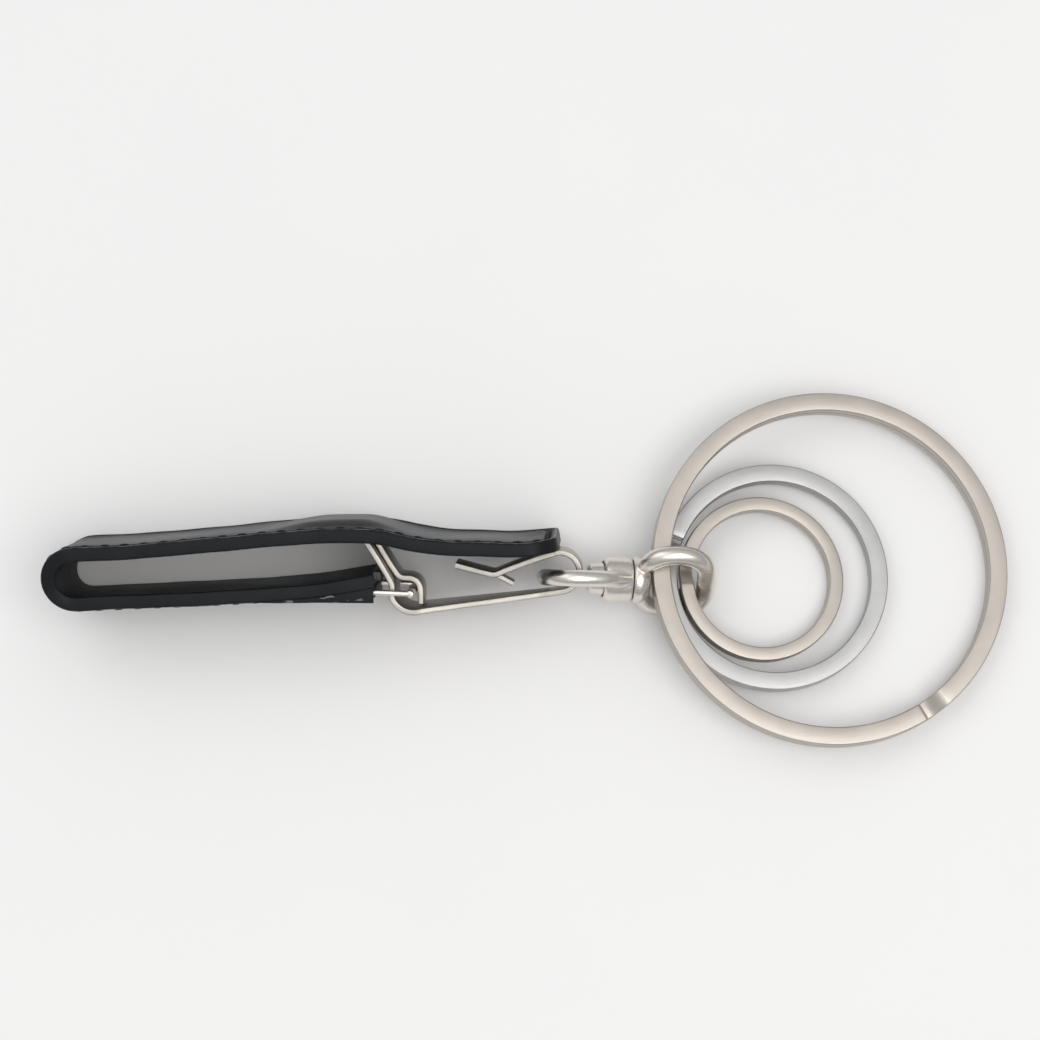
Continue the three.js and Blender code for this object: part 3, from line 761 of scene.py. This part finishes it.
def block(rows, z_low, z_high, kind):
    """Leather between two faces, from rows of (x, low y, high y)."""
    rings = []
    for x, low, high in rows:
        outline = rounded_box((high - low) / 2, (z_high - z_low) / 2, min(0.12, (high - low) / 3))
        middle = [x, (low + high) / 2, (z_low + z_high) / 2]
        rings.append(middle + outline @ np.array([[0, 1, 0], [0, 0, 1.0]]))
    run = [row[0] for row in rows]
    return tube(rings, run, section_run(outline), kinds=[kind] * len(outline))


def cheeks():
    """The glued edges of the turned-back end, on both sides of the link's bar."""
    lower, back = curve(LOWER)[::-1], curve(TURNBACK[4:])
    rows = []
    for x in np.linspace(TURNBACK[-1][0], LOWER[-1][0], 60):
        share = (x - TURNBACK[-1][0]) / (LOWER[-1][0] - TURNBACK[-1][0])
        leg = np.interp(-x, -lower[:, 0], lower[:, 1]) - PLY
        under = np.interp(-x, -back[:, 0], back[:, 1]) - RETURN["thick"] * share**0.5
        rows.append((x, min(under, leg - 0.05), leg + 0.03))
    top = WIDTH - NARROW_TOP
    low = table_edge(rows[-1][1])
    return [block(rows, top - CHEEK, top, 2), block(rows, low, low + CHEEK, 2)]


def strap_outer():
    rings, run, marks = [], [], []
    for row in GLUE:
        low, high = full_edges(row)
        cut = corner_cut(row["place"])
        fade = end_sink(row["place"])
        centre = row["at"] + row["out"] * (PLY / 2)

        def lift(z):
            return outer_lift(row, z) * (1 - fade / CUT_ROUND) - fade

        rings.append(ply_section(centre, row["out"], PLY / 2, low + cut, high - cut, lift, 1, 0))
        face = face_marks(row, rings[-1][:COLUMNS, 2])
        marks += [face, np.zeros((COLUMNS, 2))]
        run.append(row["place"])
    line = curve(TURNBACK)
    places = even(line, 0.25)
    at, ahead = stations(line, places)
    for point, along, place in zip(at, ahead, places):
        out = np.array([along[1], -along[0], 0.0])
        under = point[1] < RETURN["below"]
        share = float(smooth(-point[0], RETURN["widens"], RETURN["wide"])) if under else 0.0
        thin = min((point[0] - line[-1][0]) / (-RETURN["widens"] - line[-1][0]), 1.0)
        half = RETURN["thick_end"] + (RETURN["thick"] - RETURN["thick_end"]) * thin
        half += (1 - share) * (RETURN["wrap"] - half)
        edge = WIDTH - NARROW_TOP - CHEEK / 2
        low = RETURN["low"] + share * (table_edge(point[1] - half) + CHEEK / 2 - RETURN["low"])
        high = RETURN["high"] + share * (edge - RETURN["high"])

        def rough(z):
            return 0.03 * np.sin(3.1 * z + 2.3 * point[0]) + hand_waves(point[0], z)

        rings.append(ply_section(point, out, half, low, high, rough, 0.6, 0.6))
        marks.append(np.zeros((2 * COLUMNS, 2)))
        run.append(run[len(GLUE) - 1] + place)
    ply = tube(rings, run, section_run(rings[60]), kinds=ply_kinds())
    ply["marks"] = np.concatenate(marks)
    tongue = block(TONGUE, RETURN["low"], RETURN["high"], 0)
    return [ply, tongue, *cheeks()]


def strap_lining():
    rings, run = [], []
    for row in GLUE:
        low, high = full_edges(row)
        cut = corner_cut(row["place"])
        fade = end_sink(row["place"])
        centre = row["at"] - row["out"] * (PLY / 2)

        def lift(z):
            return hand_waves(row["at"][0] + 9, z) * 0.7 - fade

        rings.append(ply_section(centre, -row["out"], PLY / 2, low + cut, high - cut, lift, 1, 0))
        run.append(row["place"])
    sides = 2 * COLUMNS
    x = np.array([row["at"][0] if row["upper"] else -99 for row in GLUE])
    z = rings[np.argmin(np.abs(x - MOUTH["x"]))][:COLUMNS, 2]
    rows = np.where(np.abs(x - MOUTH["x"]) <= MOUTH["length"] / 2)[0]
    columns = np.where(np.abs(z - CLIP_MID) <= MOUTH["height"] / 2)[0]
    first, last, left, right = rows[0], rows[-1], columns[0], columns[-1]

    def in_mouth(i, j):
        column = j if j < COLUMNS else sides - 2 - j
        return first <= i < last and left <= column < right

    def corner(i, column, inner):
        return int(i * sides + (sides - 1 - column if inner else column))

    walls = []
    for i in range(first, last):
        for column, flip in ((left, False), (right, True)):
            wall = [corner(i, column, 0), corner(i, column, 1)]
            wall += [corner(i + 1, column, 1), corner(i + 1, column, 0)]
            walls.append(wall[::-1] if flip else wall)
    for column in range(left, right):
        for i, flip in ((first, True), (last, False)):
            wall = [corner(i, column, 0), corner(i, column, 1)]
            wall += [corner(i, column + 1, 1), corner(i, column + 1, 0)]
            walls.append(wall[::-1] if flip else wall)
    return tube(rings, run, section_run(rings[60]), kinds=ply_kinds(), skip=in_mouth, walls=walls)


def seam(row):
    """One row of stitches: short threads whose ends dive into their holes."""
    share = np.linspace(-1, 1, STITCH_POINTS)
    dive = THREAD_RISE[row] - STITCH_DIVE * np.abs(share) ** 3
    parts = []

    def thread_radius(t):
        return THREAD_R * (1 - 0.35 * abs(2 * t - 1) ** 4)

    for base, normal, _ in STITCHES[row]:
        out = normal / np.linalg.norm(normal, axis=1)[:, None]
        path = base + out * dive[:, None]
        parts.append(rod(path, STITCH_STEP, thread_radius, 10))
    return parts


for name, parts, materials, slot, node in (
    ("leather_outer", strap_outer(), [LEATHER, EDGE, SCUFFED_EDGE], "strap_leather", "strap_outer"),
    ("leather_inner", [strap_lining()], [LINING, EDGE], "strap_leather", "strap_lining"),
    ("stitches_top", seam("top"), [THREAD], "seam_thread", "seam_thread_top"),
    ("stitches_bottom", seam("bottom"), [THREAD], "seam_thread", "seam_thread_bottom"),
):
    make_piece(name, parts, STRAP, materials, "strap", [node])


# ---------------------------------------------------------------- the clip

BODY_LINE = [
    (-23.3, 7.88),
    (-20.6, 8.04),
    (-18.9, 8.03),
    (-18.2, 7.85),
    (-17.6, 7.4),
    (-16.95, 6.55),
    (-14.95, 3.3),
    (-14.5, 2.4),
    (-14.42, 1.8),
    (-14.5, 1.1),
    (-14.1, 0.3),
    (-13.2, -0.38),
    (-12.2, -0.6),
    (-11, -0.42),
]
LATCH_LINE = [
    (-16.42, 7.2),
    (-16.15, 6.7),
    (-14.15, 3.45),
    (-13.75, 3.0),
    (-13.3, 2.87),
    (-12.6, 2.84),
    (-11.95, 2.5),
    (-11.6, 1.8),
    (-11.55, 1.0),
    (-11.55, 0.15),
]
LATCH_FOOT_LINE = [(-16.05, 7.98), (-15.0, 7.82), (-13.8, 7.55), (-12.6, 7.31)]
ARM_LINE = [(0.6, 4.86), (-2.9, 3.55), (-3.5, 3.28), (-3.93, 3.2), (-4.4, 3.28), (-7.9, 4.19)]
TAPER = {"from": -11.5, "to": 0.8, "wide": 8.4, "narrow": 3.9}
TAB = {"width": 2.4, "thick": 0.5, "reach": 2.3, "back": 0.15, "drop": 14}


def body_width(x):
    share = (x - TAPER["from"]) / (TAPER["to"] - TAPER["from"])
    return TAPER["wide"] + (TAPER["narrow"] - TAPER["wide"]) * min(max(share, 0.0), 1.0)


def clip_body():
    line = curve(BODY_LINE + arc(HOOK, HOOK_R, -83, 104, 13))
    return [flat_strip(line, 0.3, STEEL, body_width)]


def clip_arm():
    line = curve(arc(HOOK, HOOK_R, 105, 110, 3) + ARM_LINE)
    vee, tip = np.array(ARM_LINE[3]), np.array(ARM_LINE[5])
    angle = math.atan2(tip[1] - vee[1], tip[0] - vee[0]) - math.radians(TAB["drop"])
    slope = np.array([math.cos(angle), math.sin(angle)])
    reach = slope * TAB["reach"]
    tab = curve([vee + slope * TAB["back"], vee - reach / 2, vee - reach])
    return [
        flat_strip(line, 0.25, STEEL, lambda x: ARM_WIDTH),
        flat_strip(tab, 0.25, TAB["thick"], lambda x: TAB["width"], 0.08),
    ]


def latch():
    return [flat_strip(curve(LATCH_LINE), 0.22, STEEL, lambda x: ARM_WIDTH)]


def latch_foot():
    return [flat_strip(curve(LATCH_FOOT_LINE), 0.3, STEEL, lambda x: ARM_WIDTH)]


LINK = {"bar": (-16.75, 1.66), "roll": (-12.47, 1.48), "roll_r": 0.44, "thick": 0.56}
LINK.update({"depth": 0.5, "window": 9.0, "leg": 0.9})


def link():
    """The link: two legs and a bar of flat steel, and the round end held in the clip's eye."""
    bar, roll = np.array(LINK["bar"]), np.array(LINK["roll"])
    slope = (roll - bar) / np.linalg.norm(roll - bar)
    width = LINK["window"] + 2 * LINK["leg"]
    side = width / 2 - LINK["leg"] / 2
    legs = []
    for sign in (-1, 1):
        line = curve([bar - slope * LINK["depth"] / 2, (bar + roll) / 2, roll + slope * 0.15])
        middle = CLIP_MID + sign * side
        legs.append(flat_strip(line, 0.3, LINK["thick"], lambda x: LINK["leg"], 0.2, middle))
    cross = curve([bar - slope * LINK["depth"] / 2, bar, bar + slope * LINK["depth"] / 2])
    legs.append(flat_strip(cross, 0.2, LINK["thick"] * 0.8, lambda x: width - 0.3, 0.16))
    r = LINK["roll_r"]
    end = turned([(0, 0, 0), (0, r, 0.3), (width, r, 0.3), (width, 0, 0)], 28)
    points = end["points"]
    end["points"] = np.stack(
        [roll[0] + points[:, 1], roll[1] + points[:, 2], CLIP_MID - width / 2 + points[:, 0]], 1
    )
    legs.append(end)
    return legs


for name, parts, material, body, slot, node in (
    ("clip_strip", clip_body(), SPRING, "strap", "spring_steel", "clip_body"),
    ("clip_tongue", clip_arm(), SPRING, "arm", "spring_steel", "clip_arm"),
    ("latch_blade", latch(), SPRING, "latch", "spring_steel", "latch_strip"),
    ("latch_root", latch_foot(), SPRING, "strap", "spring_steel", "latch_foot"),
    ("link_frame", link(), NICKEL, "link", "nickel", "strap_link"),
):
    make_piece(name, parts, STRAP, [material], body, [node])


# ---------------------------------------------------------------- the swivel

BAIL_WIRE = [(8.9, 1.9), (7.2, 2.55), (5.4, 3.45), (3.4, 3.82), (1.55, 3.55), (0.32, 2.3)]
EYE_LOOP = [(17.1, 0), (16.65, 2.45), (15.3, 3.85), (13.35, 4.25), (11.5, 3.75), (10.3, 2.3)]
EYE_LOOP += [(10.05, 0), (10.3, -2.3), (11.45, -3.85), (13.4, -4.25), (15.65, -4.12), (17.0, -2.75)]
BARREL = {"from": 5.95, "to": 9.1, "radius": 2.43, "bore": 1.1}
HEAD = {"from": 4.4, "to": 6.3, "radius": 1.7, "recess": 0.5}
COLLAR = {"radius": 2.5, "to": 10.9}
RUNNING = 0.12
SHOULDER_GAP = 0.03
WIRE_R = 0.88
EYE_R = 1.02
NECK_R = 0.8
CAST_VOXEL = 0.11
CAST_ROUNDS = 8
HEAD_SEAT = 0.25


def plain_object(name, parts):
    """An object with no material, body or slot, used only to make a casting."""
    points, faces, start = [], [], 0
    for part in parts:
        points.append(np.asarray(part["points"], float))
        faces += [[start + i for i in face] for face in part["faces"]]
        start += len(part["points"])
    mesh = bpy.data.meshes.new(name)
    mesh.from_pydata(np.concatenate(points).tolist(), [], faces)
    mesh.update()
    made = bpy.data.objects.new(name, mesh)
    bpy.context.scene.collection.objects.link(made)
    return made


def cast(name, solids, hollow):
    """A cast piece: solids joined by a fine remesh, which leaves soft fillets, then bored."""
    whole = plain_object(name + "_rough", solids)
    remesh = whole.modifiers.new("remesh", "REMESH")
    remesh.mode = "VOXEL"
    remesh.voxel_size = CAST_VOXEL
    relax = whole.modifiers.new("relax", "SMOOTH")
    relax.factor = 0.5
    relax.iterations = CAST_ROUNDS
    cutter = plain_object(name + "_bore", [hollow])
    cut = whole.modifiers.new("bore", "BOOLEAN")
    cut.operation = "DIFFERENCE"
    cut.object = cutter
    cut.solver = "EXACT"
    graph = bpy.context.evaluated_depsgraph_get()
    mesh = bpy.data.meshes.new_from_object(whole.evaluated_get(graph))
    points = np.array([v.co for v in mesh.vertices])
    faces = [list(p.vertices) for p in mesh.polygons]
    for extra in (whole, cutter):
        bpy.data.objects.remove(extra)
    uv = []
    for face in faces:
        for i in face:
            x, y, z = points[i]
            uv.append((x, math.atan2(z, y) * 2.4))
    return {"points": points, "faces": faces, "uv": uv}


def bail():
    upper = [(x, 0, z) for x, z in BAIL_WIRE]
    lower = [(x, 0, -z) for x, z in reversed(BAIL_WIRE)]
    line = curve(upper + [(0, 0, 0)] + lower)
    start, end, radius = BARREL["from"], BARREL["to"], BARREL["radius"]
    barrel = turned(
        [
            (start, 0, 0),
            (start, radius - 0.12, 0.75),
            ((start + end) / 2, radius, 0.8),
            (end, radius - 0.06, 0.3),
            (end, 0, 0),
        ]
    )

    def thin(t):
        return WIRE_R * (0.6 + 0.4 * float(smooth(0.5 - abs(t - 0.5), 0, 0.1)))

    seat = HEAD["radius"] + HEAD_SEAT
    floor = start + HEAD["recess"]
    bore = turned(
        [
            (start - 2, 0, 0),
            (start - 2, seat, 0),
            (floor, seat, 0),
            (floor, BARREL["bore"], 0),
            (end + 1, BARREL["bore"], 0),
            (end + 1, 0, 0),
        ]
    )
    return cast("bail", [rod(line, 0.25, thin, 28), barrel], bore)


def eye():
    line = curve([(x, 0, z) for x, z in EYE_LOOP], closed=True)
    start = BARREL["to"] + SHOULDER_GAP
    radius, end = COLLAR["radius"], COLLAR["to"]
    collar = turned(
        [
            (start, 0, 0),
            (start, radius - 0.08, 0.25),
            (end - 0.8, radius + 0.02, 0.4),
            (end + 0.1, radius - 0.8, 0.4),
            (end + 0.1, 0, 0),
        ]
    )
    socket_r = BARREL["bore"] - RUNNING + 0.06
    deep = end - 0.5
    socket = turned([(start - 1, 0, 0), (start - 1, socket_r, 0), (deep, socket_r, 0), (deep, 0, 0)])

    def radius_at(t):
        return NECK_R + (EYE_R - NECK_R) * float(smooth(abs(t - 0.5), 0.08, 0.16))

    return cast("eye", [rod(line, 0.25, radius_at, 28, loop=True), collar], socket)


def pin():
    shank = BARREL["bore"] - RUNNING
    start, end, radius = HEAD["from"], HEAD["to"], HEAD["radius"]
    tip = COLLAR["to"] - 0.6
    return turned(
        [
            (start, 0, 0),
            (start, radius - 0.1, 0.6),
            (end, radius, 0.06),
            (end, shank, 0.04),
            (tip, shank, 0.15),
            (tip, 0, 0),
        ]
    )


BAIL_ROLL = Matrix.Rotation(math.radians(12), 4, "X")
EYE_ROLL = Matrix.Rotation(math.radians(-27.5), 4, "X")

for name, part, place, body, node in (
    ("bail_casting", bail(), SWIVEL @ BAIL_ROLL, "bail", "swivel_bail"),
    ("eye_casting", eye(), SWIVEL @ EYE_ROLL, "eye", "swivel_eye"),
    ("pin_turned", pin(), SWIVEL, "eye", "swivel_pin"),
):
    make_piece(name, [part], place, [NICKEL], body, [node])


# ---------------------------------------------------------------- the split rings


def split_ring(size):
    """Two turns of flat bar with softened edges. The lower turn climbs a short ramp to the
    upper one, and both ends are cut square and eased."""
    turn, wide, ramp = size["turn"], size["wide"], size["ramp"]
    radius = (size["outer"] - wide) / 2
    rise = turn + RING_GAP
    last = 720 - ramp - 1
    places = [0, 0.25, 0.6, 1.1]
    places += list(np.arange(2.5, 360 - ramp - 1, 2.5))
    places += list(np.linspace(360 - ramp, 360, 13))
    places += list(np.arange(362.5, last - 2, 2.5))
    places += [last - 1.1, last - 0.6, last - 0.25, last]
    rings = []
    for degree in places:
        angle = math.radians(size["start"] + degree)
        height = rise * (float(smooth(degree, 360 - ramp, 360)) - 0.5)
        end = min(degree, last - degree) * math.pi / 180 * radius
        shrink = 0.12 * (1 - min(end / 0.25, 1.0)) ** 2
        outline = rounded_box(wide / 2 - shrink, turn / 2 - shrink, 0.16, 4)
        outward = np.array([math.cos(angle), math.sin(angle), 0.0])
        centre = outward * radius + np.array([0, 0, height])
        rings.append(centre + outline[:, :1] * outward + outline[:, 1:] * [0, 0, 1.0])
    run = np.radians(places) * radius
    return tube(rings, run, section_run(outline))


for node, body, slot, material in (
    ("ring_large", "large_ring", "nickel", RING_WARM),
    ("ring_medium", "medium_ring", "ring_steel", RING_COOL),
    ("ring_small", "small_ring", "nickel", RING_WARM),
):
    wire = [split_ring(RINGS[node])]
    make_piece(node + "_wire", wire, ring_place(node), [material], body, [node])


# ---------------------------------------------------------------- floor, light and camera


def paper():
    """A sheet of matt white paper, very faintly mottled."""
    n = Nodes("paper")
    mottle = n.noise(n.object, 30, 4.0)
    colour = n.blend(mottle, (0.86, 0.86, 0.865), (0.885, 0.885, 0.885))
    return n.finish(Base_Color=colour, Roughness=0.9, Specular_IOR_Level=0.2)


def floor():
    size = 3.0
    corners = [(-size, -size, 0), (size, -size, 0), (size, size, 0), (-size, size, 0)]
    mesh = bpy.data.meshes.new("floor")
    mesh.from_pydata(corners, [], [(0, 1, 2, 3)])
    mesh.materials.append(paper())
    made = bpy.data.objects.new("floor", mesh)
    bpy.context.scene.collection.objects.link(made)


def softbox(name, place, size, power, colour):
    light = bpy.data.lights.new(name, "AREA")
    light.shape = "RECTANGLE"
    light.size, light.size_y = size
    light.energy = power
    light.color = colour
    made = bpy.data.objects.new(name, light)
    made.location = place
    made.rotation_euler = (-Vector(place)).to_track_quat("-Z", "Y").to_euler()
    bpy.context.scene.collection.objects.link(made)


def sky():
    """Pale room light: bright above, greyer towards the horizon."""
    world = bpy.data.worlds.new("room")
    world.use_nodes = True
    tree = world.node_tree
    back = tree.nodes["Background"]
    place = tree.nodes.new("ShaderNodeTexCoord")
    split = tree.nodes.new("ShaderNodeSeparateXYZ")
    ramp = tree.nodes.new("ShaderNodeValToRGB")
    tree.links.new(place.outputs["Generated"], split.inputs[0])
    tree.links.new(split.outputs["Z"], ramp.inputs[0])
    tree.links.new(ramp.outputs[0], back.inputs[0])
    ramp.color_ramp.elements[0].color = (0.42, 0.43, 0.45, 1)
    ramp.color_ramp.elements[1].color = (1.0, 0.995, 0.985, 1)
    ramp.color_ramp.elements[0].position = 0.0
    ramp.color_ramp.elements[1].position = 0.85
    back.inputs[1].default_value = 0.7
    bpy.context.scene.world = world


CAMERA_PLACE = (11.265, -70.54, 343.2)
CAMERA_TURN = (12.597, 2.005, 0.448)
CAMERA_LENS = 112.9


def camera():
    data = bpy.data.cameras.new("camera")
    data.sensor_width = 36.0
    data.lens = CAMERA_LENS
    data.clip_start, data.clip_end = 0.01, 20
    made = bpy.data.objects.new("camera", data)
    made.location = Vector(CAMERA_PLACE) * MM
    made.rotation_euler = [math.radians(a) for a in CAMERA_TURN]
    bpy.context.scene.collection.objects.link(made)
    bpy.context.scene.camera = made


floor()
softbox("key", (0.3, -0.3, 1.0), (0.8, 0.7), 4.9, (1.0, 0.985, 0.96))
softbox("fill", (-0.5, 0.35, 0.9), (0.8, 0.8), 1.7, (0.96, 0.98, 1.0))
sky()
camera()
bpy.context.scene.view_settings.view_transform = "Standard"
